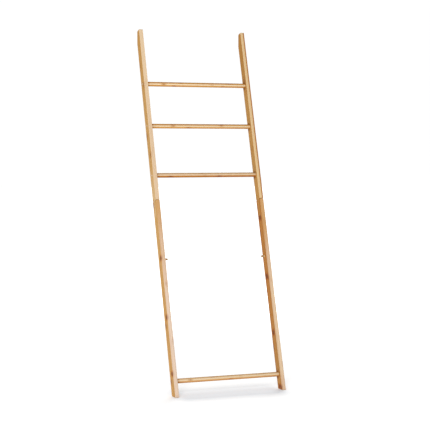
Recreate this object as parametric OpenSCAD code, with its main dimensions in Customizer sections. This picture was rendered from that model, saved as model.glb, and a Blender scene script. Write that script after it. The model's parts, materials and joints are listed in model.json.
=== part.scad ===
// Leaning bamboo ladder: two rails, each in an upper and a lower length that meet in a tongue and
// fork joint, four round rungs, two hanging pegs, and the screws, plugs and pads.
// Millimetres, +Z up, +X to the right seen from the front, +Y back towards the wall.
// The origin is on the floor, under the middle of the whole ladder.

/* [Ladder] */
// Overall width across the two rails
ladder_w = 550; // [420:5:700]
// Angle that the ladder leans back from upright, in degrees
lean = 17; // [12:0.5:22]

/* [Rails] */
// Thickness of a rail, across the ladder
rail_t = 20; // [19:0.5:24]
// Depth of a rail, from its front face to its back face
rail_d = 45; // [40:1:55]
// Length of a lower rail along its front face, from the floor to the joint
lower_len = 931; // [850:1:1000]
// Length of an upper rail along its front face, from the joint to its top end
upper_len = 854; // [750:1:950]
// Radius along the long edges of a rail
edge_r = 1.5; // [1.5:0.5:4]
// Radius around the end of a rail at the joint and at the top
end_r = 4; // [2:0.5:5]
// Depth of rail left at the top end, in front of the upright flat that meets the wall
top_d = 26; // [22:1:30]

/* [Rungs] */
// Diameter of a rung
rung_dia = 22; // [20:0.5:26]
// Height of the bottom rung's axis above the floor, along the rail
bottom_rung_at = 79; // [60:1:150]
// Distance of the third rung's axis above the joint, along the rail
third_rung_up = 124; // [90:1:160]
// Distance of the second rung's axis above the joint, along the rail
second_rung_up = 369; // [300:1:420]
// Distance of the top rung's axis above the joint, along the rail
top_rung_up = 581; // [520:1:640]
// Depth of the socket that holds each end of a rung
rung_seat = 8; // [5:0.5:8]

/* [Hanging pegs] */
// Diameter of a hanging peg
peg_dia = 9; // [8:0.5:12]
// Length of a peg that stands out of its rail
peg_out = 18; // [15:1:40]
// Length of the tenon that is glued into the rail behind a peg's shoulder
peg_seat = 13; // [8:0.5:14]
// Diameter of a peg's tenon
peg_tenon_dia = 7; // [5:0.5:7.5]
// Height of the pegs' axis above the floor, along the rail
peg_at = 648; // [500:1:700]

/* [Rung screws] */
// Diameter of a screw's head
head_dia = 9.5; // [8:0.5:12]
// Height of a screw's head
head_h = 3.2; // [2.5:0.1:4]
// Diameter of a screw's threaded shank
screw_dia = 6.4; // [5:0.2:7]
// Length of a screw under its head
screw_len = 48; // [40:1:60]
// Depth of a visible screw head below the rail's face
head_sink = 0.6; // [0.2:0.1:1]
// Thickness of the plug that covers each of the bottom rung's screws
plug_h = 4.2; // [3:0.1:5]

/* [Rail joint] */
// Width of the tongue on an upper rail, front to back, in the middle of the rail's depth
tongue_w = 15; // [12:0.5:18]
// Length of the tongue, and of the fork in the lower rail that takes it
tongue_len = 82; // [70:1:95]
// Distance of the upper joint screw below the joint
joint_screw_high = 22; // [16:1:28]
// Distance of the lower joint screw below the joint
joint_screw_low = 58; // [44:1:60]
// Diameter of a joint screw's threaded shank
joint_screw_dia = 5; // [4:0.5:6]
// Length of a joint screw under its head
joint_screw_len = 32; // [28:1:34]

/* [Pads] */
// Thickness of the pads under the feet and on the wall flats
pad_t = 1.5; // [1:0.5:3]
// Distance of a pad's edge inside the edge of the wood that it sits on
pad_inset = 2; // [1:0.5:3]

/* [Hidden] */
$fn = 64;

LEFT = -1;
RIGHT = 1;
PALE_BAMBOO = "burlywood";
WARM_BAMBOO = "peru";
STEEL = "lightgray";
RUBBER = "dimgray";

// Clearance around a round piece in its own hole, and the overshoot that makes a cut clean
fit = 0.05;
over = 1;
// Clearance around a screw where it only passes through the rail
pass_gap = 0.3;
// Width across the flats of the hexagon key that turns the screws
key_w = 4;
// Depth of the hexagon socket in a screw's head
key_h = 2.4;
// Chamfer on the ends of rungs, and the round on a peg's free end
chamfer = 0.8;
peg_tip_r = 2;
// Spare depth at the blind end of a hole
hole_end = 2;

inner_x = ladder_w / 2 - rail_t;
mid_d = rail_d / 2;
rail_len = lower_len + upper_len;
top_rung_at = lower_len + top_rung_up;
second_rung_at = lower_len + second_rung_up;
third_rung_at = lower_len + third_rung_up;
upper_rungs = [third_rung_at, second_rung_at, top_rung_at];
plug_sink = plug_h;
joint_high = lower_len - joint_screw_high;
joint_low = lower_len - joint_screw_low;
joint_screws = [joint_high, joint_low];
joint_screw_tip = rail_d - head_sink - head_h - joint_screw_len;

// The wood stops a pad's thickness above the floor and short of the wall
wall_y = rail_len * sin(lean) + top_d * cos(lean);
front_y = pad_t * tan(lean);
middle_y = (front_y + wall_y + pad_t) / 2;
wall_flat_h = (rail_d - top_d) / sin(lean);
foot_depth = rail_d / cos(lean);

// Puts children drawn on an upright ladder, whose front face is at y = 0 and whose foot is at
// z = 0, in the leaning ladder's place
module leaned() {
    translate([0, -middle_y, 0]) rotate([-lean, 0, 0]) children();
}

// Draws children made for the right-hand side on either side
module on_side(side) {
    mirror([side < 0 ? 1 : 0, 0, 0]) children();
}

// A flat rectangle with round corners, its lower left corner at the origin
module soft_rect(w, h, r) {
    translate([r, 0]) square([w - 2 * r, h]);
    translate([0, r]) square([w, h - 2 * r]);
    for (x = [r, w - r], y = [r, h - r]) translate([x, y]) circle(r);
}

// A round bar or hole along X, from x towards +X
module across(x, at, len, dia) {
    translate([x, mid_d, at]) rotate([0, 90, 0]) cylinder(h = len, d = dia);
}

// A round hole along Y in the middle of the right-hand rail, between two depths
module through(at, from_y, to_y, dia) {
    translate([inner_x + rail_t / 2, to_y, at]) rotate([90, 0, 0])
        cylinder(h = to_y - from_y, d = dia);
}

// A rail of the right-hand side between two heights, before its holes: a section with soft long
// edges, ends rounded front to back and side to side, trimmed by an outline seen from the side
module rail_blank(from, to) {
    len = to - from;
    intersection() {
        translate([inner_x, 0, from]) linear_extrude(len) soft_rect(rail_t, rail_d, edge_r);
        translate([inner_x, rail_d + over, from]) rotate([90, 0, 0])
            linear_extrude(rail_d + 2 * over) soft_rect(rail_t, len, end_r);
        translate([inner_x - over, 0, 0]) rotate([90, 0, 90])
            linear_extrude(rail_t + 2 * over) intersection() {
                translate([0, from]) soft_rect(rail_d, len, end_r);
                children();
            }
    }
}

// The socket, screw hole and head recess that hold one end of a rung
module rung_seat_cuts(at, sink) {
    across(inner_x - over, at, rung_seat + over, rung_dia + 2 * fit);
    across(inner_x, at, rail_t, screw_dia + 2 * pass_gap);
    across(ladder_w / 2 - sink - head_h, at, sink + head_h + over, head_dia + 2 * fit);
}

// The tongue of an upper rail, or with some clearance the slot that makes a lower rail's fork
module tongue(gap) {
    translate([inner_x - (gap > 0 ? over : 0), mid_d - tongue_w / 2 - gap,
        lower_len - tongue_len - gap])
        cube([rail_t + (gap > 0 ? 2 * over : 0), tongue_w + 2 * gap, tongue_len + 2 * end_r]);
}

// The foot is cut level with the floor, and the pads lift it by their own thickness
module lower_rail(side) {
    drop = 2 * end_r;
    sole = pad_t / cos(lean);
    color(WARM_BAMBOO) leaned() on_side(side) difference() {
        rail_blank(-drop, lower_len) polygon([
            [-over, sole - over * tan(lean)],
            [rail_d + over, sole + (rail_d + over) * tan(lean)],
            [rail_d + over, lower_len + over],
            [-over, lower_len + over]
        ]);
        rung_seat_cuts(bottom_rung_at, plug_sink);
        across(inner_x - over, peg_at, peg_seat + over, peg_tenon_dia + 2 * fit);
        tongue(fit);
        for (at = joint_screws) {
            through(at, joint_screw_tip - hole_end, mid_d, joint_screw_dia + 2 * fit);
            through(at, mid_d, rail_d, joint_screw_dia + 2 * pass_gap);
            through(at, rail_d - head_sink - head_h, rail_d + over, head_dia + 2 * fit);
        }
    }
}

// The back of the top end is cut upright, so that it lies flat on the wall
module upper_rail(side) {
    flat_drop = (rail_d - top_d) / tan(lean);
    color(PALE_BAMBOO) leaned() on_side(side) difference() {
        union() {
            rail_blank(lower_len, rail_len) polygon([
                [-over, lower_len - over],
                [rail_d + over, lower_len - over],
                [rail_d + over, rail_len - flat_drop - over / tan(lean)],
                [top_d - over * tan(lean), rail_len + over],
                [-over, rail_len + over]
            ]);
            tongue(0);
        }
        for (at = upper_rungs) rung_seat_cuts(at, head_sink);
        for (at = joint_screws) through(at, 0, rail_d, joint_screw_dia + 2 * fit);
    }
}

// A round bar with chamfered ends, bored at both ends for its screws
module rung(at, tint, sink) {
    len = 2 * (inner_x + rung_seat);
    bore_len = screw_len - (rail_t - sink - head_h - rung_seat) + hole_end;
    color(tint) leaned() difference() {
        translate([-len / 2, mid_d, at]) rotate([0, 90, 0]) rotate_extrude() polygon([
            [0, 0], [rung_dia / 2 - chamfer, 0], [rung_dia / 2, chamfer],
            [rung_dia / 2, len - chamfer], [rung_dia / 2 - chamfer, len], [0, len]
        ]);
        for (side = [LEFT, RIGHT]) on_side(side)
            across(len / 2 - bore_len, at, bore_len + over, screw_dia + 2 * fit);
    }
}

// A hexagon-socket screw with a flat head, its shank down from z = 0; its tip is blunt
module socket_screw(len, dia) {
    tip = dia / 2;
    color(STEEL) difference() {
        union() {
            cylinder(h = head_h, d = head_dia);
            translate([0, 0, tip - len]) cylinder(h = len - tip, d = dia);
            translate([0, 0, -len]) cylinder(h = tip, d1 = dia / 2, d2 = dia);
        }
        translate([0, 0, head_h - key_h]) cylinder(h = key_h + over, d = key_w / cos(30), $fn = 6);
    }
}

// A screw driven in through the rail from its outer face, into the end of a rung
module rung_screw(side, at, sink) {
    leaned() on_side(side) translate([ladder_w / 2 - sink - head_h, mid_d, at])
        rotate([0, 90, 0]) socket_screw(screw_len, screw_dia);
}

// A screw driven in from the back of the fork, through the tongue
module joint_screw(side, at) {
    leaned() on_side(side) translate([inner_x + rail_t / 2, rail_d - head_sink - head_h, at])
        rotate([-90, 0, 0]) socket_screw(joint_screw_len, joint_screw_dia);
}

// A short bamboo plug, flush with the rail's outer face, over a screw of the bottom rung
module rung_plug(side) {
    color(WARM_BAMBOO) leaned() on_side(side)
        across(ladder_w / 2 - plug_h, bottom_rung_at, plug_h, head_dia);
}

// A peg with a rounded free end that points to the middle of the ladder. Its shoulder sits on
// the rail's inner face, and its tenon runs into the rail.
module peg(side) {
    color(PALE_BAMBOO) leaned() on_side(side)
        translate([inner_x, mid_d, peg_at]) rotate([0, -90, 0]) rotate_extrude() {
            translate([0, -peg_seat]) square([peg_tenon_dia / 2, peg_seat + over]);
            square([peg_dia / 2, peg_out - peg_tip_r]);
            square([peg_dia / 2 - peg_tip_r, peg_out]);
            translate([peg_dia / 2 - peg_tip_r, peg_out - peg_tip_r]) intersection() {
                circle(peg_tip_r);
                square(peg_tip_r);
            }
        }
}

// A non-slip pad, flat on the floor under one foot
module foot_pad(side) {
    color(RUBBER) on_side(side)
        translate([inner_x + pad_inset, front_y - middle_y + pad_inset, 0])
            linear_extrude(pad_t)
                soft_rect(rail_t - 2 * pad_inset, foot_depth - 2 * pad_inset, edge_r);
}

// A soft pad on the upright flat at the top of one rail, which spares the wall
module wall_pad(side) {
    top_z = rail_len * cos(lean) - top_d * sin(lean);
    h = wall_flat_h - 2 * pad_inset - end_r;
    color(RUBBER) on_side(side)
        translate([inner_x + pad_inset, wall_y - middle_y + pad_t, top_z - pad_inset - end_r - h])
            rotate([90, 0, 0]) linear_extrude(pad_t)
                soft_rect(rail_t - 2 * pad_inset, h, edge_r);
}

lower_rail(LEFT);  // left_lower_rail
lower_rail(RIGHT);  // right_lower_rail
upper_rail(LEFT);  // left_upper_rail
upper_rail(RIGHT);  // right_upper_rail
rung(top_rung_at, PALE_BAMBOO, head_sink);  // top_rung
rung(second_rung_at, PALE_BAMBOO, head_sink);  // second_rung
rung(third_rung_at, PALE_BAMBOO, head_sink);  // third_rung
rung(bottom_rung_at, WARM_BAMBOO, plug_sink);  // bottom_rung
peg(LEFT);  // left_peg
peg(RIGHT);  // right_peg
rung_screw(LEFT, top_rung_at, head_sink);  // top_rung_left_screw
rung_screw(RIGHT, top_rung_at, head_sink);  // top_rung_right_screw
rung_screw(LEFT, second_rung_at, head_sink);  // second_rung_left_screw
rung_screw(RIGHT, second_rung_at, head_sink);  // second_rung_right_screw
rung_screw(LEFT, third_rung_at, head_sink);  // third_rung_left_screw
rung_screw(RIGHT, third_rung_at, head_sink);  // third_rung_right_screw
rung_screw(LEFT, bottom_rung_at, plug_sink);  // bottom_rung_left_screw
rung_screw(RIGHT, bottom_rung_at, plug_sink);  // bottom_rung_right_screw
rung_plug(LEFT);  // bottom_rung_left_plug
rung_plug(RIGHT);  // bottom_rung_right_plug
joint_screw(LEFT, joint_high);  // left_joint_high_screw
joint_screw(RIGHT, joint_high);  // right_joint_high_screw
joint_screw(LEFT, joint_low);  // left_joint_low_screw
joint_screw(RIGHT, joint_low);  // right_joint_low_screw
foot_pad(LEFT);  // left_foot_pad
foot_pad(RIGHT);  // right_foot_pad
wall_pad(LEFT);  // left_wall_pad
wall_pad(RIGHT);  // right_wall_pad
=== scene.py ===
# %% [markdown]
# # A leaning bamboo ladder, dressed for its portrait
#
# The ladder's shape is already settled: every rail, rung and screw exists as an exact solid, and
# this lesson loads them as a fixed frame. What is left is what makes bamboo look like bamboo, and
# the small turned and moulded pieces whose detail an engineering solid leaves out.
#
# We start by loading the frame and keeping the box that it fills, because nothing we add may grow
# past it.

# %% Load the frame
import json
import math

import bmesh
import bpy
from mathutils import Matrix, Vector


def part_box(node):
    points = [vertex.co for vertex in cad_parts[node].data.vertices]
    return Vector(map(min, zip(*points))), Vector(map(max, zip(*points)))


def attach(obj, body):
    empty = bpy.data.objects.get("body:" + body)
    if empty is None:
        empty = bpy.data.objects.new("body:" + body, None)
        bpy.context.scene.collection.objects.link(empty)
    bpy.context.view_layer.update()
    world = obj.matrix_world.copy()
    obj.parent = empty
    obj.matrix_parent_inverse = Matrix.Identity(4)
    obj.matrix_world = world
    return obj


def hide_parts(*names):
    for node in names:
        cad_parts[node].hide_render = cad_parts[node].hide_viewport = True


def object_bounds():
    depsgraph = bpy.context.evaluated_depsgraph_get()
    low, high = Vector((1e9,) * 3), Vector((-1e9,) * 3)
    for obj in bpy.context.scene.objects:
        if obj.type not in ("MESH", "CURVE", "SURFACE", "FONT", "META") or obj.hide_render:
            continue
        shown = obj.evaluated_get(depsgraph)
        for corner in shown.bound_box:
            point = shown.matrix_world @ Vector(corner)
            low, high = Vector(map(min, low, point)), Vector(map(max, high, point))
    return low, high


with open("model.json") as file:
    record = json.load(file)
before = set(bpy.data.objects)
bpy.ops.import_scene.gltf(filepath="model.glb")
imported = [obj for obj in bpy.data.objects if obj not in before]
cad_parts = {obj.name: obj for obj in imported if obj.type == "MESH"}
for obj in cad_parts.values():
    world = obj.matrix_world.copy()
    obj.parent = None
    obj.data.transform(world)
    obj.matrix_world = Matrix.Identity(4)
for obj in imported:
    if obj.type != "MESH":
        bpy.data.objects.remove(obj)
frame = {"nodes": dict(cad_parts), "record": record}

MM = 0.001
frame_low, frame_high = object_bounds()
print("frame box in mm:", [round(side / MM, 1) for side in frame_high - frame_low])

# %% [markdown]
# ## The ladder's own directions
#
# The ladder leans, so "along the rail" and "through the rail from front to back" are slanted in
# the room. The rungs tell us the slant: the line from the bottom rung's middle to the top rung's
# middle runs along the rails. We could type the angle in, but reading it from the record means
# that the looks follow if the ladder is ever made steeper.

# %% Find along, deep and the bottom rung
middles = {mount["name"]: Vector(mount["pos_m"]) for mount in frame["record"]["mounts"]}
bottom_bar = middles["bottom_rung_bar"]
along = (middles["top_rung_bar"] - bottom_bar).normalized()
across = Vector((1, 0, 0))
deep = along.cross(across)
lean = math.atan2(along.y, along.z)
leaning = Matrix((across, deep, along)).transposed()
print("lean in degrees:", round(math.degrees(lean), 2))


def on_ladder(x, depth, height):
    """The room position of a point x across, depth back from the rung axes, height up the rail."""
    return bottom_bar + across * x + deep * depth + along * height


def reach(node, direction):
    """How far a node stretches in one direction, from and to, measured from the bottom rung."""
    spots = [(corner.co - bottom_bar).dot(direction) for corner in frame["nodes"][node].data.vertices]
    return min(spots), max(spots)


for node in ("left_lower_rail", "right_upper_rail", "top_rung"):
    print(node, [[round(end / MM, 1) for end in reach(node, way)] for way in (across, deep, along)])

# %% [markdown]
# ## Camera
#
# A long lens far away keeps the rails nearly parallel, as a furniture catalogue does. The camera
# stands to the left of square on and a little above the middle, level enough that the rails don't
# fan out. It is placed from the ladder's own box: a direction, a distance and a point to aim at.

# %% Put up the camera
middle = (frame_low + frame_high) / 2
height = frame_high.z - frame_low.z
aim = Vector((middle.x + 0.0244, middle.y, frame_low.z + 0.4761 * height))
azimuth, elevation, distance = math.radians(-21.19), math.radians(2.963), 6.186
towards_camera = Vector((
    math.sin(azimuth) * math.cos(elevation),
    -math.cos(azimuth) * math.cos(elevation),
    math.sin(elevation),
))
lens = bpy.data.cameras.new("portrait_lens")
lens.lens = 108.35
lens.sensor_width = 36
camera = bpy.data.objects.new("camera", lens)
camera.location = aim + towards_camera * distance
camera.rotation_euler = (-towards_camera).to_track_quat("-Z", "Y").to_euler()
bpy.context.collection.objects.link(camera)
bpy.context.scene.camera = camera
print("camera at", [round(value, 3) for value in camera.location])

# %% [markdown]
# ## Writing shader maths as sums
#
# A procedural finish is a long chain of small nodes. Wiring each one by hand hides the idea, so
# one class wraps a node's output and lets Python's own +, -, * and / add the Math nodes. The
# reflected forms matter as much as the plain ones: `1 - mask` starts with a number, and Python
# then asks the right-hand side to do the work.

# %% A socket that does sums
class Strand:
    """One output of a node in a finish. Sums with it add Math nodes."""

    def __init__(self, finish, socket):
        self.finish = finish
        self.socket = socket

    def sum(self, operation, first, second=0.0):
        return self.finish.node("Math", {"operation": operation}, {0: first, 1: second})

    def __add__(self, other):
        return self.sum("ADD", self, other)

    def __radd__(self, other):
        return self.sum("ADD", other, self)

    def __sub__(self, other):
        return self.sum("SUBTRACT", self, other)

    def __rsub__(self, other):
        return self.sum("SUBTRACT", other, self)

    def __mul__(self, other):
        return self.sum("MULTIPLY", self, other)

    def __rmul__(self, other):
        return self.sum("MULTIPLY", other, self)

    def __truediv__(self, other):
        return self.sum("DIVIDE", self, other)

    def __abs__(self):
        return self.sum("ABSOLUTE", self)

    def whole(self):
        return self.sum("FLOOR", self)

    def part(self):
        return self.sum("FRACT", self)


# %% [markdown]
# ## One way to add any other node
#
# Everything that isn't plain arithmetic goes through one method: name the node's type, give the
# settings that change which sockets it has, then the values or strands to plug in. The few helpers
# after it are only the nodes that every finish here uses: a mix of two colours, a soft step, a
# ramp and a stretched noise.

# %% A finish and its nodes
class Finish:
    """A material being built. `skin` is its Principled shader."""

    def __init__(self, name):
        self.material = bpy.data.materials.new(name)
        self.material.use_nodes = True
        self.tree = self.material.node_tree
        self.skin = self.tree.nodes["Principled BSDF"]

    def plug(self, socket, value):
        if isinstance(value, Strand):
            self.tree.links.new(value.socket, socket)
        elif isinstance(value, (int, float)):
            socket.default_value = value
        else:
            value = tuple(value)
            room = len(socket.default_value)
            socket.default_value = value + (1.0,) * (room - len(value))

    def node(self, kind, settings=None, sockets=None, out=0):
        made = self.tree.nodes.new("ShaderNode" + kind)
        settings = dict(settings or {})
        stops = settings.pop("stops", [])
        for setting, value in settings.items():
            setattr(made, setting, value)
        for number, (place, colour) in enumerate(stops):
            stop = made.color_ramp.elements[0] if number == 0 else made.color_ramp.elements.new(place)
            stop.position = place
            stop.color = (*colour, 1.0)
        if stops:
            made.color_ramp.elements.remove(made.color_ramp.elements[-1])
        for where, value in (sockets or {}).items():
            self.plug(made.inputs[where], value)
        return Strand(self, made.outputs[out])

    def feed(self, **sockets):
        for name, value in sockets.items():
            self.plug(self.skin.inputs[name.replace("_", " ")], value)

    def mix(self, first, second, amount, how="MIX"):
        settings = {"data_type": "RGBA", "blend_type": how}
        return self.node("Mix", settings, {0: amount, 6: first, 7: second}, out=2)

    def soft_step(self, value, start, end):
        """0 up to start, 1 past end, and a smooth rise between them; start may be the larger."""
        low, high = min(start, end), max(start, end)
        rise = self.node("MapRange", {"interpolation_type": "SMOOTHSTEP"}, {0: value, 1: low, 2: high})
        return rise if start < end else 1 - rise

    def split(self, vector):
        made = self.node("SeparateXYZ", sockets={0: vector})
        return [Strand(self, socket) for socket in made.socket.node.outputs]

    def join(self, x, y, z):
        return self.node("CombineXYZ", sockets={0: x, 1: y, 2: z})

    def noise(self, where, scale=1.0, detail=2.0, roughness=0.5):
        return self.node("TexNoise", sockets={
            "Vector": where, "Scale": scale, "Detail": detail, "Roughness": roughness,
        })

    def dot(self, vector, direction):
        return self.node("VectorMath", {"operation": "DOT_PRODUCT"}, {0: vector, 1: direction}, out=1)


print("a finish can now be written as sums")

# %% [markdown]
# ## Bamboo's own tones
#
# Bamboo lumber is glued from strips split out of the culm, so a rail is never one colour. Each
# tone below is a light reflectance for red, green and blue. Steamed strips run from ivory to
# amber, and the joint that closes each section of the culm, its node, dries to a dark brown.
#
# The second group are factors, not tones: each multiplies the tone that lies under it. A factor
# keeps the difference between two strips where a tone laid on top would hide it.

# %% Name the tones
# The rungs' pale core tone below is partly a painted highlight.
CORE_TONE_AND_HIGHLIGHT = (0.565, 0.435, 0.285)
VANILLA = (0.56, 0.42, 0.27)
IVORY = (0.53, 0.39, 0.255)
BLUSH = (0.54, 0.41, 0.31)
SAND = (0.49, 0.335, 0.22)
STRAW = (0.505, 0.335, 0.17)
BARLEY = (0.53, 0.37, 0.195)
WHEAT = (0.56, 0.37, 0.175)
HONEY = (0.49, 0.275, 0.086)
GINGER = (0.465, 0.245, 0.066)
CARAMEL = (0.44, 0.25, 0.105)
TOFFEE = (0.405, 0.21, 0.055)
CHESTNUT = (0.37, 0.175, 0.038)
AMBER = (0.36, 0.145, 0.024)
NODE_BROWN = (0.17, 0.045, 0.009)
GLUE = (0.30, 0.15, 0.05)
END_GRAIN = (0.27, 0.135, 0.038)
SPLINT = (0.66, 0.50, 0.29)
TIP_BROWN = (0.27, 0.155, 0.055)

NODE_HALO = (0.80, 0.52, 0.27)
TOASTED = (0.77, 0.58, 0.36)
# The next factor darkens the painted shade where rungs meet rails.
SHADE_TINT = (0.62, 0.44, 0.26)
# The next factor darkens the rungs' tops and bottoms: skin tone and painted shade.
SKIN_TONE_AND_SHADE = (0.76, 0.60, 0.38)
PLAIN = (1.0, 1.0, 1.0)
BRIGHT = (1.0, 1.04, 1.11)
print("bamboo tones named, from", IVORY, "to", AMBER)

# %% [markdown]
# ## A rail's bamboo
#
# A rail is three layers thick. In each layer strips lie side by side, and the layers are laid like
# brickwork so that no glue line goes right through. To know which strip a point belongs to we take
# its place in the rail, count whole layers and whole strips, and let that pair of numbers pick
# the strip's tone. A noise texture alone would give blotches that ignore the glue lines.
#
# The skin of the wood lies exactly on the edge of the last strip, where a whole number would
# flicker between two strips, so every distance is shortened by a hair first.

# %% Find the strip that a point is in
PLY = 20 / 3
STRIP = 22.5
SHY = 0.97


def glued_strips(finish, side_to_side, depth, lay, seed):
    """A point's layer and strip, three chance numbers of that strip, and its distances to glue."""
    plies = side_to_side * (SHY / PLY) + 0.5
    layer = plies.whole()
    strips = depth * (SHY / STRIP) + ((layer + lay) / 2).part()
    column = strips.whole()
    chance = finish.node("TexWhiteNoise", sockets={0: finish.join(layer, column, seed)}, out=1)
    to_side = (0.5 - abs(strips.part() - 0.5)) * STRIP
    to_ply = (0.5 - abs(plies.part() - 0.5)) * PLY
    return layer, column, finish.split(chance), to_side, to_ply


print("layers:", round(20 / PLY), "strips side by side:", round(45 / STRIP))

# %% [markdown]
# ## Nodes along a strip
#
# A culm grows in sections, each a little longer than the one below, and each section ends in a
# node. So the nodes of a strip come at a nearly even pitch, and neighbouring strips, cut from other
# places, are shifted by chance. Each node is a wide warm halo round a brown core with a thin dark
# scar through it, and chance also says how dark it has dried. A little noise bends its line.

# %% Place the culm's nodes
SECTION = 252.0
SECTION_STRETCH = 0.00011


def culm_nodes(finish, place, layer, column, shift, seed):
    """The halo, the brown core and the thin scar of a strip's nodes."""
    side_to_side, depth, height = place
    bend = (finish.noise(finish.join(side_to_side, depth, height * 0.02), 0.22) - 0.5) * 14
    along_culm = height + bend
    sections = along_culm / SECTION * (1 - along_culm * SECTION_STRETCH) + shift
    away = abs(sections.part() - 0.5) * SECTION
    growth = finish.node("TexWhiteNoise", sockets={
        0: finish.join(layer + seed, column, sections.whole()),
    })
    halo, core = finish.soft_step(away, 22, 8), finish.soft_step(away, 14, 4)
    return halo * growth, core * growth, finish.soft_step(away, 1.8, 0.5) * growth


# %% [markdown]
# ## One skin for all the bamboo
#
# Rails, rungs and pegs are the same wood, so one function dresses them all. It starts from a base
# colour and lays over it, in order, what a maker would see: the strip's own tone, the grain, the
# nodes, the glue lines and the ends of the fibre bundles where the wood is sawn across. Last comes a
# painted shade where rungs and rails meet. Laying them one by one keeps each easy to change.

# %% Lay the strips over a base colour
def bamboo_skin(finish, base, place, on_edge, on_end, lay, seed, dark_nodes, painted_shade_mask):
    """Feeds a finish with laminated bamboo. Place is side to side, depth and height, in mm."""
    side_to_side, depth, height = place
    layer, column, chances, to_side, to_ply = glued_strips(finish, side_to_side, depth, lay, seed)
    halo, stain, scar = culm_nodes(finish, place, layer, column, chances[2], seed)

    bright = chances[0] * 0.12 + 0.94
    wood = finish.mix(base, finish.join(bright, bright, bright), 1.0, "MULTIPLY")
    wood = finish.mix(wood, TOASTED, finish.soft_step(chances[1], 0.55, 1.0), "MULTIPLY")
    streaks = finish.noise(finish.join(side_to_side, depth, height * 0.012), 0.45, 3.0)
    fibres = finish.noise(finish.join(side_to_side, depth, height * 0.02), 3.2, 2.0)
    grain = streaks * 0.34 + fibres * 0.22 + 0.72
    wood = finish.mix(wood, finish.join(grain, grain, grain), 1.0, "MULTIPLY")

    shown = (1 - on_edge * 0.75) * (1 - on_end) * dark_nodes
    wood = finish.mix(wood, NODE_HALO, halo * shown, "MULTIPLY")
    wood = finish.mix(wood, NODE_BROWN, stain * shown * 0.95)
    wood = finish.mix(wood, NODE_BROWN, scar * shown)
    near_glue = finish.soft_step(to_side, 0.28, 0.08) + finish.soft_step(to_ply, 0.28, 0.08)
    wood = finish.mix(wood, GLUE, near_glue * 0.45 * (1 - on_end * 0.5))

    bundles = finish.node("TexVoronoi", sockets={
        "Vector": finish.join(side_to_side, depth, 0.0), "Scale": 1.1, "Randomness": 0.9,
    })
    dots = finish.soft_step(bundles, 0.34, 0.16)
    wood = finish.mix(wood, END_GRAIN, on_end * (dots * 0.5 + 0.45))
    # painted shade where rungs meet rails: the rings behind rungs and the rungs' dark left ends
    wood = finish.mix(wood, SHADE_TINT, painted_shade_mask, "MULTIPLY")

    relief = fibres * 0.35 + stain * 0.5 - near_glue * 0.4
    finish.feed(
        Base_Color=wood,
        Roughness=0.46 + fibres * 0.14 + on_end * 0.2,
        Normal=finish.node("Bump", sockets={"Strength": 0.22, "Distance": 0.0003, "Height": relief}),
        Specular_IOR_Level=0.08,
    )
    return finish.material


# %% [markdown]
# ## Tones that change along a piece
#
# A board is seldom one tone from end to end, and a laminated one jumps at each glue line. A ramp
# does both: far-apart stops blend slowly, and two stops side by side make a jump. Stops are
# written in millimetres here, because a ramp's own 0 to 1 would hide where they lie on the piece.

# %% Blend tones along a length
def tones_along(finish, place, low, high, tones):
    """A colour that changes from tone to tone as place, in mm, goes from low to high."""
    stops = [((spot - low) / (high - low), tone) for spot, tone in tones]
    return finish.node("ValToRGB", {"stops": stops}, {0: (place - low) / (high - low)})


def across_layers(finish, place, half, glue, blur, layers):
    """A colour that jumps at the two glue lines between a piece's three layers."""
    first, core, last = layers
    stops = [(-glue - blur, first), (-glue + blur, core), (glue - blur, core), (glue + blur, last)]
    return tones_along(finish, place, -half, half, stops)


print("tones can be placed in millimetres")


# %% [markdown]
# ## Four rails, four culms
#
# Each rail comes from its own board, so each gets its own seed and its own tones. A seed decides where
# the nodes fall; these four were picked out of many because their nodes lie near this ladder's own.
# The upper rails come from pale boards with faint nodes. The lower ones are warmer just under the
# joint, and their front edges grow paler towards the floor. That paleness is partly the wood's tone
# and partly a painted sheen. Their nodes are dark.
#
# The wide faces and the narrow edges get their own tones. This is partly because they show different
# sides of the strips, and partly because the paler edge tones carry a painted sheen. A tone is written
# with its height above the bottom rung, in millimetres. On an edge all three layers show side by side,
# so each rail also has three factors, one for each layer.
#
# Close behind every rung the rail's inner face is darker, in a soft ring. This is a painted shade,
# where the rung keeps light off the rail. It is painted into the colour here, which keeps it the same
# under any lamp; a stronger lamp alone would wash it out.

# %% The rails' finish
RAIL_HALF = 10
RAIL_GLUE_BLUR = 0.2
RING_BEHIND = 9.0
RING_EDGE, RING_FULL = 25, 14


def painted_shade_rings(finish, depth, height):
    """Mask of the painted shade: 1 close behind where a rung enters a rail, and 0 from a little way
    off.
    """
    rings = 0.0
    for name, spot in middles.items():
        if name.endswith("_rung_bar"):
            rise = (spot - bottom_bar).dot(along) / MM
            from_rung = finish.join(depth - RING_BEHIND, height - rise, 0.0)
            away = finish.node("VectorMath", {"operation": "LENGTH"}, {0: from_rung}, out=1)
            rings = finish.soft_step(away, RING_EDGE, RING_FULL) + rings
    return rings


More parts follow.
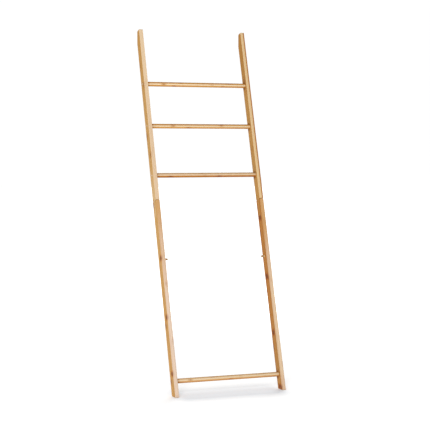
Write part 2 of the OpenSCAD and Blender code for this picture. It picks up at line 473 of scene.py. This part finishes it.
def rail_bamboo(node, lay, seed, faces, edges, layers, dark_nodes):
    finish = Finish(node + "_bamboo")
    low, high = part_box(node)
    here = finish.node("TexCoord", out="Object")
    surface = finish.node("NewGeometry", out="Normal")
    side_to_side = (finish.dot(here, across) - (low[0] + high[0]) / 2) * 1000
    depth = (finish.dot(here, deep) - bottom_bar.dot(deep)) * 1000
    height = (finish.dot(here, along) - bottom_bar.dot(along)) * 1000
    on_edge = finish.soft_step(abs(finish.dot(surface, deep)), 0.6, 0.95)
    on_end = finish.soft_step(abs(finish.dot(surface, along)), 0.55, 0.85)
    foot, top = reach(node, along)
    # edge tones: the strips' own tone with a painted sheen on the narrow edges
    edge = tones_along(finish, height, foot / MM, top / MM, edges)
    plies = across_layers(finish, side_to_side, RAIL_HALF, PLY / 2, RAIL_GLUE_BLUR, layers)
    edge = finish.mix(edge, plies, 1.0, "MULTIPLY")
    base = finish.mix(tones_along(finish, height, foot / MM, top / MM, faces), edge, on_edge)
    inwards = 1 if node.startswith("left") else -1
    inner_face = finish.soft_step(side_to_side * inwards, 7, 9.5)
    # painted shade ring behind each rung, on the inner face only
    ring = painted_shade_rings(finish, depth, height) * inner_face
    place = (side_to_side, depth, height)
    return bamboo_skin(finish, base, place, on_edge, on_end, lay, seed, dark_nodes, ring)


# %% [markdown]
# ## The four boards
#
# The table below holds one board for each rail: whether its first layer is shifted by half a
# strip, its seed, the tones of its wide faces, the tones of its edges, its three layer factors
# and how dark its nodes are. A table keeps the four rails comparable at a glance, which four
# copies of the same code wouldn't.

# %% Finish the rails
# The paler edge tones in this table are partly a painted sheen.
boards = {
    "left_upper_rail": (
        1, 651186.0,
        [(880, WHEAT), (1020, HONEY), (1200, HONEY), (1650, GINGER)],
        [(900, IVORY), (1250, IVORY), (1500, VANILLA)],
        (PLAIN, PLAIN, PLAIN), 0.3,
    ),
    "right_upper_rail": (
        0, 14864.0,
        [(780, CHESTNUT), (900, TOFFEE), (1350, TOFFEE), (1550, CHESTNUT)],
        [(900, BARLEY)],
        (BRIGHT, PLAIN, TOASTED), 0.35,
    ),
    "left_lower_rail": (
        1, 3050728.0,
        [(350, GINGER), (600, HONEY)],
        [(400, BLUSH), (580, SAND), (660, SAND), (800, CARAMEL)],
        (PLAIN, PLAIN, PLAIN), 0.9,
    ),
    "right_lower_rail": (
        0, 3134887.0,
        [(0, CHESTNUT), (350, AMBER)],
        [(-30, SAND), (20, IVORY), (380, IVORY), (580, SAND), (700, CARAMEL)],
        (PLAIN, PLAIN, PLAIN), 1.15,
    ),
}
for node, board in boards.items():
    finish = rail_bamboo(node, *board)
    frame["nodes"][node].material_slots[0].material = finish
    print(node, "shader nodes:", len(finish.node_tree.nodes))

# %% [markdown]
# ## A skin stretched over rings
#
# Turned, threaded and moulded pieces all come from the same idea: a row of rings, each a loop of
# points, with a skin of quads stretched from one ring to the next. A ring may also be one point,
# which closes the skin. A lathe tool would do for the pegs but not for a hexagon socket, a screw
# thread or a pad, and this does them all.

# %% Stretch a skin over rings
def skinned(name, rings, place, turn, finish, crease=35):
    shape = bmesh.new()
    loops = [[shape.verts.new(spot) for spot in ring] for ring in rings]
    for first, second in zip(loops, loops[1:]):
        count = max(len(first), len(second))
        for step in range(count):
            corners = [
                first[step % len(first)], first[(step + 1) % len(first)],
                second[(step + 1) % len(second)], second[step % len(second)],
            ]
            shape.faces.new(list(dict.fromkeys(corners)))
    for end in (loops[0], loops[-1]):
        if len(end) > 1:
            shape.faces.new(end)
    bmesh.ops.recalc_face_normals(shape, faces=shape.faces)
    mesh = bpy.data.meshes.new(name)
    shape.to_mesh(mesh)
    shape.free()
    mesh.polygons.foreach_set("use_smooth", [True] * len(mesh.polygons))
    mesh.set_sharp_from_angle(angle=math.radians(crease))
    mesh.materials.append(finish)
    piece = bpy.data.objects.new(name, mesh)
    piece.matrix_world = Matrix.Translation(place) @ turn.to_4x4()
    bpy.context.collection.objects.link(piece)
    return piece


def circle(x, radius, points=48):
    """A ring round the local X axis; with no radius it is one point."""
    if radius == 0:
        return [Vector((x, 0, 0)) * MM]
    turns = [2 * math.pi * step / points for step in range(points)]
    return [Vector((x, radius * math.cos(turn), radius * math.sin(turn))) * MM for turn in turns]


def rounded(x, radius, soft, way, steps=5):
    """The (x, radius) steps of a rounded rim: way is 1 if the end face is towards +X."""
    turns = [math.pi / 2 * step / steps for step in range(steps + 1)]
    if way < 0:
        turns = turns[::-1]
    return [
        (x - way * soft * (1 - math.sin(turn)), radius - soft * (1 - math.cos(turn)))
        for turn in turns
    ]


def dress(piece, node):
    """Puts a piece on the ladder in place of its plain solid."""
    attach(piece, "root")
    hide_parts(node)


# %% [markdown]
# ## Rungs
#
# A rung is a dowel turned from a laminated blank, so its layers run straight through it: the middle
# layer is the palest, with a browner one above and one below. That pale middle is partly the strip's
# own tone and partly a painted highlight along the rung's front. A round rung can be screwed on at any
# roll, so some have level layers and the bottom one's lie square to the rails.
# The rung darkens at its top and bottom. This is partly the hard brown skin of the outer strips that
# the turning cuts into, and partly a painted shade where the round turns away from the light. The left
# ends are darker too, where a rung goes into the shaded side of its rail; like the rails' rings, that
# is painted into the colour.

# %% The rungs' finish
RUNG_HALF = 11
RUNG_GLUE, RUNG_GLUE_BLUR = 3.4, 0.1
DARK_END_FROM, DARK_END_FULL = 16, 3


def rung_bamboo(name, seed, layers, dark_nodes, shoulder):
    finish = Finish(name + "_bamboo")
    here = finish.node("TexCoord", out="Object")
    surface = finish.node("TexCoord", out="Normal")
    length, depth, height = [part * 1000 for part in finish.split(here)]
    on_end = finish.soft_step(abs(finish.split(surface)[0]), 0.55, 0.85)
    base = across_layers(finish, height, RUNG_HALF, RUNG_GLUE, RUNG_GLUE_BLUR, layers)
    # darker top and bottom: the outer strips' skin tone and a painted shade
    base = finish.mix(base, SKIN_TONE_AND_SHADE, finish.soft_step(abs(height), 5.0, 9.5), "MULTIPLY")
    dark_end = finish.soft_step(0 - length, shoulder - DARK_END_FROM, shoulder - DARK_END_FULL)
    dark_end = dark_end * (finish.soft_step(abs(height), 2.5, 4.0) * 0.7 + 0.3)
    place = (height, depth, length)
    return bamboo_skin(finish, base, place, 0.0, on_end, 0, seed, dark_nodes, dark_end)


# %% [markdown]
# ## Turning the rungs
#
# On a lathe a rung is a profile turned about its axis, and so it is here: the list of steps goes
# from the floor of one bored hole, out over the rim that sandpaper has rounded, along the rung and
# into the other hole. The sizes are read from the plain solids, so the turned rung fits its rails.

# %% Turn the rungs
RUNG_SCREW = 6.4
RUNG_RIM = 1.2
BORED_PAST_TIP = 2
rung_boards = {
    # The pale cores are partly a painted highlight.
    "top_rung": (477394.0, (GINGER, CORE_TONE_AND_HIGHLIGHT, GINGER), 0.0, 0.45),
    "second_rung": (33213.0, (GINGER, CORE_TONE_AND_HIGHLIGHT, GINGER), 0.0, 0.5),
    "third_rung": (340507.0, (AMBER, IVORY, STRAW), 0.5, 0.6),
    "bottom_rung": (152951.0, (CARAMEL, CORE_TONE_AND_HIGHLIGHT, STRAW), 1.0, 0.4),
}
rail_gap = (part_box("right_lower_rail")[0][0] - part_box("left_lower_rail")[1][0]) / MM
for rung, (seed, layers, tilt, dark_nodes) in rung_boards.items():
    left, right = (end / MM for end in reach(rung, across))
    low, high = (end / MM for end in reach(rung, deep))
    radius = (high - low) / 2
    bored_to = reach(rung + "_right_screw", across)[0] / MM - BORED_PAST_TIP
    profile = [(-bored_to, 0), (-bored_to, RUNG_SCREW / 2)]
    profile += [(left, RUNG_SCREW / 2)] + rounded(left, radius, RUNG_RIM, -1)
    profile += rounded(right, radius, RUNG_RIM, 1) + [(right, RUNG_SCREW / 2)]
    profile += [(bored_to, RUNG_SCREW / 2), (bored_to, 0)]
    finish = rung_bamboo(rung, seed, layers, dark_nodes, rail_gap / 2)
    rings = [circle(x, ring_radius, 96) for x, ring_radius in profile]
    rolled = Matrix.Rotation(-lean * tilt, 3, "X")
    piece = skinned(rung + "_turned", rings, middles[rung + "_bar"], rolled, finish)
    dress(piece, rung)
    print(rung, "length", round(right - left, 1), "diameter", round(2 * radius, 1))

# %% [markdown]
# ## Hanging pegs
#
# Each peg is turned from one bamboo splint, with a shoulder that sits on the rail, a thinner tenon
# that is glued into it and a rounded free end. The body is pale and the free end browner; a soft step
# along the peg turns one tone into the other. The lower side of the peg is darker, a painted shade.

# %% The pegs' finish
TIP_FROM, TIP_FULL = 18, 21
PEG_SEED = 77.0


def peg_bamboo():
    finish = Finish("peg_bamboo")
    here = finish.node("TexCoord", out="Object")
    length, depth, height = [part * 1000 for part in finish.split(here)]
    turned_away = finish.split(finish.node("TexCoord", out="Normal"))[0]
    on_end = finish.soft_step(abs(turned_away), 0.45, 0.8)
    # the lower side darker: painted shade
    base = tones_along(finish, height, -5, 5, [(-4, STRAW), (-1, SPLINT)])
    base = finish.mix(base, TIP_BROWN, finish.soft_step(length, TIP_FROM, TIP_FULL))
    place = (depth, height, length)
    return bamboo_skin(finish, base, place, 0.0, on_end, 0, PEG_SEED, 0.0, 0.0)


peg_finish = peg_bamboo()
print("peg shader nodes:", len(peg_finish.node_tree.nodes))

# %% [markdown]
# ## Turning the pegs
#
# Both pegs share one profile. It runs from the tenon's inner end to the rounded tip, and the
# right-hand peg is the left-hand one turned half way round, so that both point inwards.

# %% Turn the pegs
PEG_TENON = 7.0
for side, way in (("left", 1), ("right", -1)):
    node = side + "_peg"
    ends = sorted(abs(end) / MM for end in reach(node, across))
    low, high = (end / MM for end in reach(node, deep))
    radius = (high - low) / 2
    inner_face = min(abs(end) for end in reach(side + "_lower_rail", across)) / MM
    shoulder = ends[1] - inner_face
    profile = [(0, 0)] + rounded(0, PEG_TENON / 2, 0.6, -1) + [(shoulder, PEG_TENON / 2)]
    profile += rounded(shoulder, radius, 0.2, -1, 2)
    profile += rounded(ends[1] - ends[0], radius, 2.6, 1, 8) + [(ends[1] - ends[0], 0)]
    rings = [circle(x, ring_radius) for x, ring_radius in profile]
    turn = leaning @ Matrix.Rotation(0 if way > 0 else math.pi, 3, "Z")
    place = middles[side + "_peg"].copy()
    place.x = -way * ends[1] * MM
    dress(skinned(node + "_turned", rings, place, turn, peg_finish), node)
    print(node, "stands out", round(ends[1] - ends[0] - shoulder, 1))

# %% [markdown]
# ## Screws
#
# The rungs and the rail joints are held by zinc-plated socket screws. A head is a drum with a
# rounded rim and a hexagon socket; because every ring has 48 points, and 48 is a multiple of six,
# the round rim can run straight into the hexagon with no gap. The thread is one long ridge: at
# each ring the ridge has turned a little further, which is all that a helix is.

# %% The zinc finish
def zinc():
    finish = Finish("zinc_plate")
    here = finish.node("TexCoord", out="Object")
    cloud = finish.noise(here, 900.0, 3.0)
    turned = finish.split(here)
    lines = finish.noise(finish.join(turned[0] * 9000, turned[1] * 300, turned[2] * 300), 1.0)
    finish.feed(
        Base_Color=finish.mix((0.50, 0.49, 0.46), (0.66, 0.65, 0.61), cloud),
        Metallic=0.9,
        Roughness=0.34 + lines * 0.2,
        Normal=finish.node("Bump", sockets={"Strength": 0.15, "Distance": 0.0001, "Height": lines}),
    )
    return finish.material


# %% [markdown]
# ## Cutting the screws
#
# Three rings are enough to draw a screw: a circle for the drum, a hexagon for the key's socket and
# a circle with one high spot for the thread. Two lengths of screw are wanted, so one function
# takes the length and the shank and strings the rings together from the socket's floor to the tip.

# %% Cut a screw
HEAD_HIGH, HEAD_WIDE = 3.2, 9.5
KEY, KEY_DEEP = 4.0, 2.4
PITCH, RIDGE = 2.2, 0.45


def hexagon(x, across_flats):
    """A ring of 48 points on a hexagon round the local X axis."""
    spots = []
    for step in range(48):
        turn = 2 * math.pi * step / 48
        from_flat = (turn + math.pi / 6) % (math.pi / 3) - math.pi / 6
        spots.append((turn, across_flats / 2 / math.cos(from_flat)))
    return [Vector((x, far * math.cos(turn), far * math.sin(turn))) * MM for turn, far in spots]


def thread(x, shank):
    """A ring of 48 points where the thread's ridge has turned with x."""
    spots = []
    for step in range(48):
        ridge = abs(((x / PITCH + step / 48) % 1) * 2 - 1)
        far = shank / 2 - RIDGE * (1 - ridge ** 3)
        turn = step * math.pi / 24
        spots.append(Vector((x, far * math.cos(turn), far * math.sin(turn))) * MM)
    return spots


def socket_screw(name, length, shank, place, turn, finish):
    """A screw along the local X axis: its head from 0 outwards, its tip at minus its length."""
    socket_floor = HEAD_HIGH - KEY_DEEP
    rings = [circle(socket_floor - 0.5, 0), hexagon(socket_floor, KEY)]
    rings += [hexagon(HEAD_HIGH - 0.25, KEY), hexagon(HEAD_HIGH, KEY + 0.5)]
    rings += [circle(x, far) for x, far in rounded(HEAD_HIGH, HEAD_WIDE / 2, 0.7, 1)[::-1]]
    rings += [circle(x, far) for x, far in rounded(0, HEAD_WIDE / 2, 0.2, -1, 2)]
    rings += [circle(0, shank / 2), circle(-2, shank / 2 - 0.1)]
    turns = int((length - 6) / PITCH * 6)
    rings += [thread(-3 - step * PITCH / 6, shank) for step in range(turns)]
    rings += [circle(1.6 - length, shank / 2 - RIDGE), circle(-length, shank / 4)]
    return skinned(name, rings, place, turn, finish, 50)


zinc_finish = zinc()
JOINT_SCREW = 5.0
screws = [node for node in frame["nodes"] if node.endswith("_screw")]
for node in screws:
    joint_screw = "_joint_" in node
    out = deep if joint_screw else across * (-1 if "_left_" in node else 1)
    low, high = (end / MM for end in reach(node, out))
    length = high - low - HEAD_HIGH
    centre = sum((Vector(end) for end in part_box(node)), Vector()) / 2
    place = centre + out * (high - HEAD_HIGH - (centre - bottom_bar).dot(out) / MM) * MM
    turn = Matrix((out, across if joint_screw else along.cross(out), along)).transposed()
    if turn.determinant() < 0:
        turn = Matrix((out, -turn.col[1], along)).transposed()
    shank = JOINT_SCREW if joint_screw else RUNG_SCREW
    piece = socket_screw(node + "_threaded", length, shank, place, turn, zinc_finish)
    dress(piece, node)
print("screws:", len(screws))

# %% [markdown]
# ## Plugs
#
# The bottom rung's screws hide under bamboo plugs. They are cut across the grain, so their faces
# show end grain, and each has a fine rounded rim where it meets the rail.

# %% Press in the plugs
for side, way in (("left", -1), ("right", 1)):
    node = "bottom_rung_" + side + "_plug"
    low, high = (end / MM for end in reach(node, across * way))
    near, far = (end / MM for end in reach(node, deep))
    radius = (far - near) / 2
    profile = [(0, 0)] + rounded(0, radius, 0.3, -1, 2) + rounded(high - low, radius, 0.4, 1, 4)
    profile += [(high - low, 0)]
    place = on_ladder(way * low * MM, 0, 0)
    turn = leaning @ Matrix.Rotation(0 if way > 0 else math.pi, 3, "Z")
    rings = [circle(x, ring_radius) for x, ring_radius in profile]
    # The plugs wear the pegs' finish, with its painted shade on the lower side.
    dress(skinned(node + "_cut", rings, place, turn, peg_finish), node)
print("plugs pressed in")

# %% [markdown]
# ## Rubber pads
#
# A moulded pad under each foot and on each wall flat stops the ladder from sliding and spares the
# wall. Rubber is dull and slightly blooming, so a slow noise varies its grey and a fine one its
# roughness and relief.

# %% The rubber finish
def rubber():
    finish = Finish("pad_rubber")
    here = finish.node("TexCoord", out="Object")
    bloom = finish.noise(here, 260.0, 4.0)
    pores = finish.noise(here, 2600.0, 2.0)
    finish.feed(
        Base_Color=finish.mix((0.20, 0.19, 0.175), (0.33, 0.32, 0.30), bloom),
        Roughness=0.62 + pores * 0.25,
        Normal=finish.node("Bump", sockets={"Strength": 0.3, "Distance": 0.0002, "Height": pores}),
    )
    return finish.material


# %% [markdown]
# ## Moulding the pads
#
# The moulded ribs run in rings, one inside the other, so they grip in every direction. The same
# rings of points make them: each ring is the pad's outline pulled in a little further, up for a
# groove and down for a rib.

# %% Mould the pads
PAD_CORNER, LEAST_CORNER = 2.5, 0.4
RIBS, RIB_START, RIB_PITCH, GROOVE_DEEP = 3, 1.5, 1.9, 0.45


def soft_outline(width, length, corner, rise):
    """A ring of 64 points round a rectangle with soft corners, centred, at a height."""
    spots = []
    for quarter, (sx, sy) in enumerate(((1, 1), (-1, 1), (-1, -1), (1, -1))):
        for step in range(16):
            turn = math.pi / 2 * (quarter + step / 15)
            x = sx * (width / 2 - corner) + corner * math.cos(turn)
            y = sy * (length / 2 - corner) + corner * math.sin(turn)
            spots.append(Vector((x, y, rise)) * MM)
    return spots


def ribbed_pad(name, width, length, thick, place, turn, finish):
    """A pad whose glued side is at its thickness and whose ribs touch zero."""
    steps = [(1.2, thick), (0.15, thick), (0, thick - 0.15), (0, 0.4), (0.12, 0.12), (0.4, 0)]
    for rib in range(RIBS):
        inside = RIB_START + rib * RIB_PITCH
        steps += [(inside, 0), (inside + 0.3, GROOVE_DEEP)]
        steps += [(inside + 0.8, GROOVE_DEEP), (inside + 1.1, 0)]
    rings = []
    for inset, rise in steps:
        corner = max(PAD_CORNER - inset, LEAST_CORNER)
        rings.append(soft_outline(width - 2 * inset, length - 2 * inset, corner, rise))
    return skinned(name, rings, place, turn, finish, 40)


rubber_finish = rubber()
level = Matrix.Identity(3)
upright = Matrix(((1, 0, 0), (0, 0, -1), (0, 1, 0)))
for node in ("left_foot_pad", "right_foot_pad", "left_wall_pad", "right_wall_pad"):
    low, high = (Vector(end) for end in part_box(node))
    centre, size = (low + high) / 2, (high - low) / MM
    if "foot" in node:
        place, turn, length, thick = Vector((centre.x, centre.y, low.z)), level, size.y, size.z
    else:
        place, turn, length, thick = Vector((centre.x, high.y, centre.z)), upright, size.z, size.y
    piece = ribbed_pad(node + "_moulded", size.x, length, thick, place, turn, rubber_finish)
    dress(piece, node)
    print(node, [round(side, 1) for side in size])

# %% [markdown]
# ## The floor
#
# The floor is a plain pale sheet that runs out of sight, and it is clear from below, so that the
# feet can be looked at from underneath. It glows, with one strength for the eye and another for
# the light that it throws back up at the ladder. The soft grey shade along the line of the feet
# is drawn into the glow that the eye sees. No lamp casts it, so it stays where it is drawn.

# %% Lay the floor
NEAR_GLOW = (0.27, 0.27, 0.27)
SHADE_GLOW = (0.0, 0.03, 0.065)
FAR_GLOW = (1.0, 1.0, 1.0)
UPWARD_GLOW = (0.6, 0.6, 0.6)


def floor_finish():
    """White to the eye, with a drawn soft shade along the line of the feet."""
    finish = Finish("floor_white")
    x, y = finish.split(finish.node("TexCoord", out="Object"))[:2]
    feet = sum((Vector(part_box(side + "_foot_pad")[0]) for side in ("left", "right")), Vector()) / 2
    between = finish.soft_step(abs(x), 0.32, 0.22)
    in_front = finish.soft_step(y - feet.y, -0.17, 0.0)
    behind = finish.soft_step(y - feet.y, 0.27, 0.02)
    shade = between * in_front * behind
    from_middle = finish.node("Math", {"operation": "SQRT"}, {0: x * x + y * y})
    far_off = finish.soft_step(from_middle, 1.2, 3.2)
    shown = finish.mix(NEAR_GLOW, FAR_GLOW, far_off)
    shown = finish.mix(shown, SHADE_GLOW, shade)
    to_camera = finish.node("LightPath")
    finish.feed(
        Base_Color=(0.86, 0.86, 0.86),
        Roughness=0.9,
        Emission_Color=finish.mix(UPWARD_GLOW, shown, to_camera),
        Emission_Strength=1.0,
    )
    from_below = finish.node("NewGeometry", out="Backfacing")
    from_above = Strand(finish, finish.skin.outputs["BSDF"])
    glass = finish.node("BsdfTransparent")
    seen = finish.node("MixShader", sockets={0: from_below, 1: from_above, 2: glass})
    finish.plug(finish.tree.nodes["Material Output"].inputs["Surface"], seen)
    return finish.material


FLOOR_REACH = 30
BELOW_THE_FEET = 0.0005
sheet = bmesh.new()
bmesh.ops.create_grid(sheet, x_segments=2, y_segments=2, size=FLOOR_REACH)
floor_mesh = bpy.data.meshes.new("floor")
sheet.to_mesh(floor_mesh)
sheet.free()
floor = bpy.data.objects.new("floor", floor_mesh)
floor.location.z = frame_low.z - BELOW_THE_FEET
floor_mesh.materials.append(floor_finish())
bpy.context.collection.objects.link(floor)
print("floor laid, metres each way:", FLOOR_REACH)

# %% [markdown]
# ## Lamps and a white room
#
# A soft lamp near the camera models the fronts, a second from behind keeps the back from going
# dull, and a white room fills the rest. The room is brighter to the eye than it is as a light, so
# the background can be white while the ladder keeps its contrast.

# %% Hang the lamps
def lamp(name, place, watts, size):
    light = bpy.data.lights.new(name, "AREA")
    light.energy = watts
    light.size = size
    hung = bpy.data.objects.new(name, light)
    hung.location = place
    hung.rotation_euler = (aim - Vector(place)).to_track_quat("-Z", "Y").to_euler()
    bpy.context.collection.objects.link(hung)


lamp("key", (-2.6, -5.2, 2.4), 260, 2.2)
lamp("back_fill", (2.4, 3.6, 2.6), 90, 2.5)

room = bpy.data.worlds.new("white_room")
room.use_nodes = True
bpy.context.scene.world = room
air = room.node_tree
white = air.nodes["Background"]
white.inputs["Color"].default_value = (1, 1, 1, 1)
ray = air.nodes.new("ShaderNodeLightPath")
strength = air.nodes.new("ShaderNodeMapRange")
strength.inputs["To Min"].default_value = 0.5
strength.inputs["To Max"].default_value = 1.02
air.links.new(ray.outputs["Is Camera Ray"], strength.inputs["Value"])
air.links.new(strength.outputs["Result"], white.inputs["Strength"])
bpy.context.scene.view_settings.view_transform = "Standard"
print("lamps up")
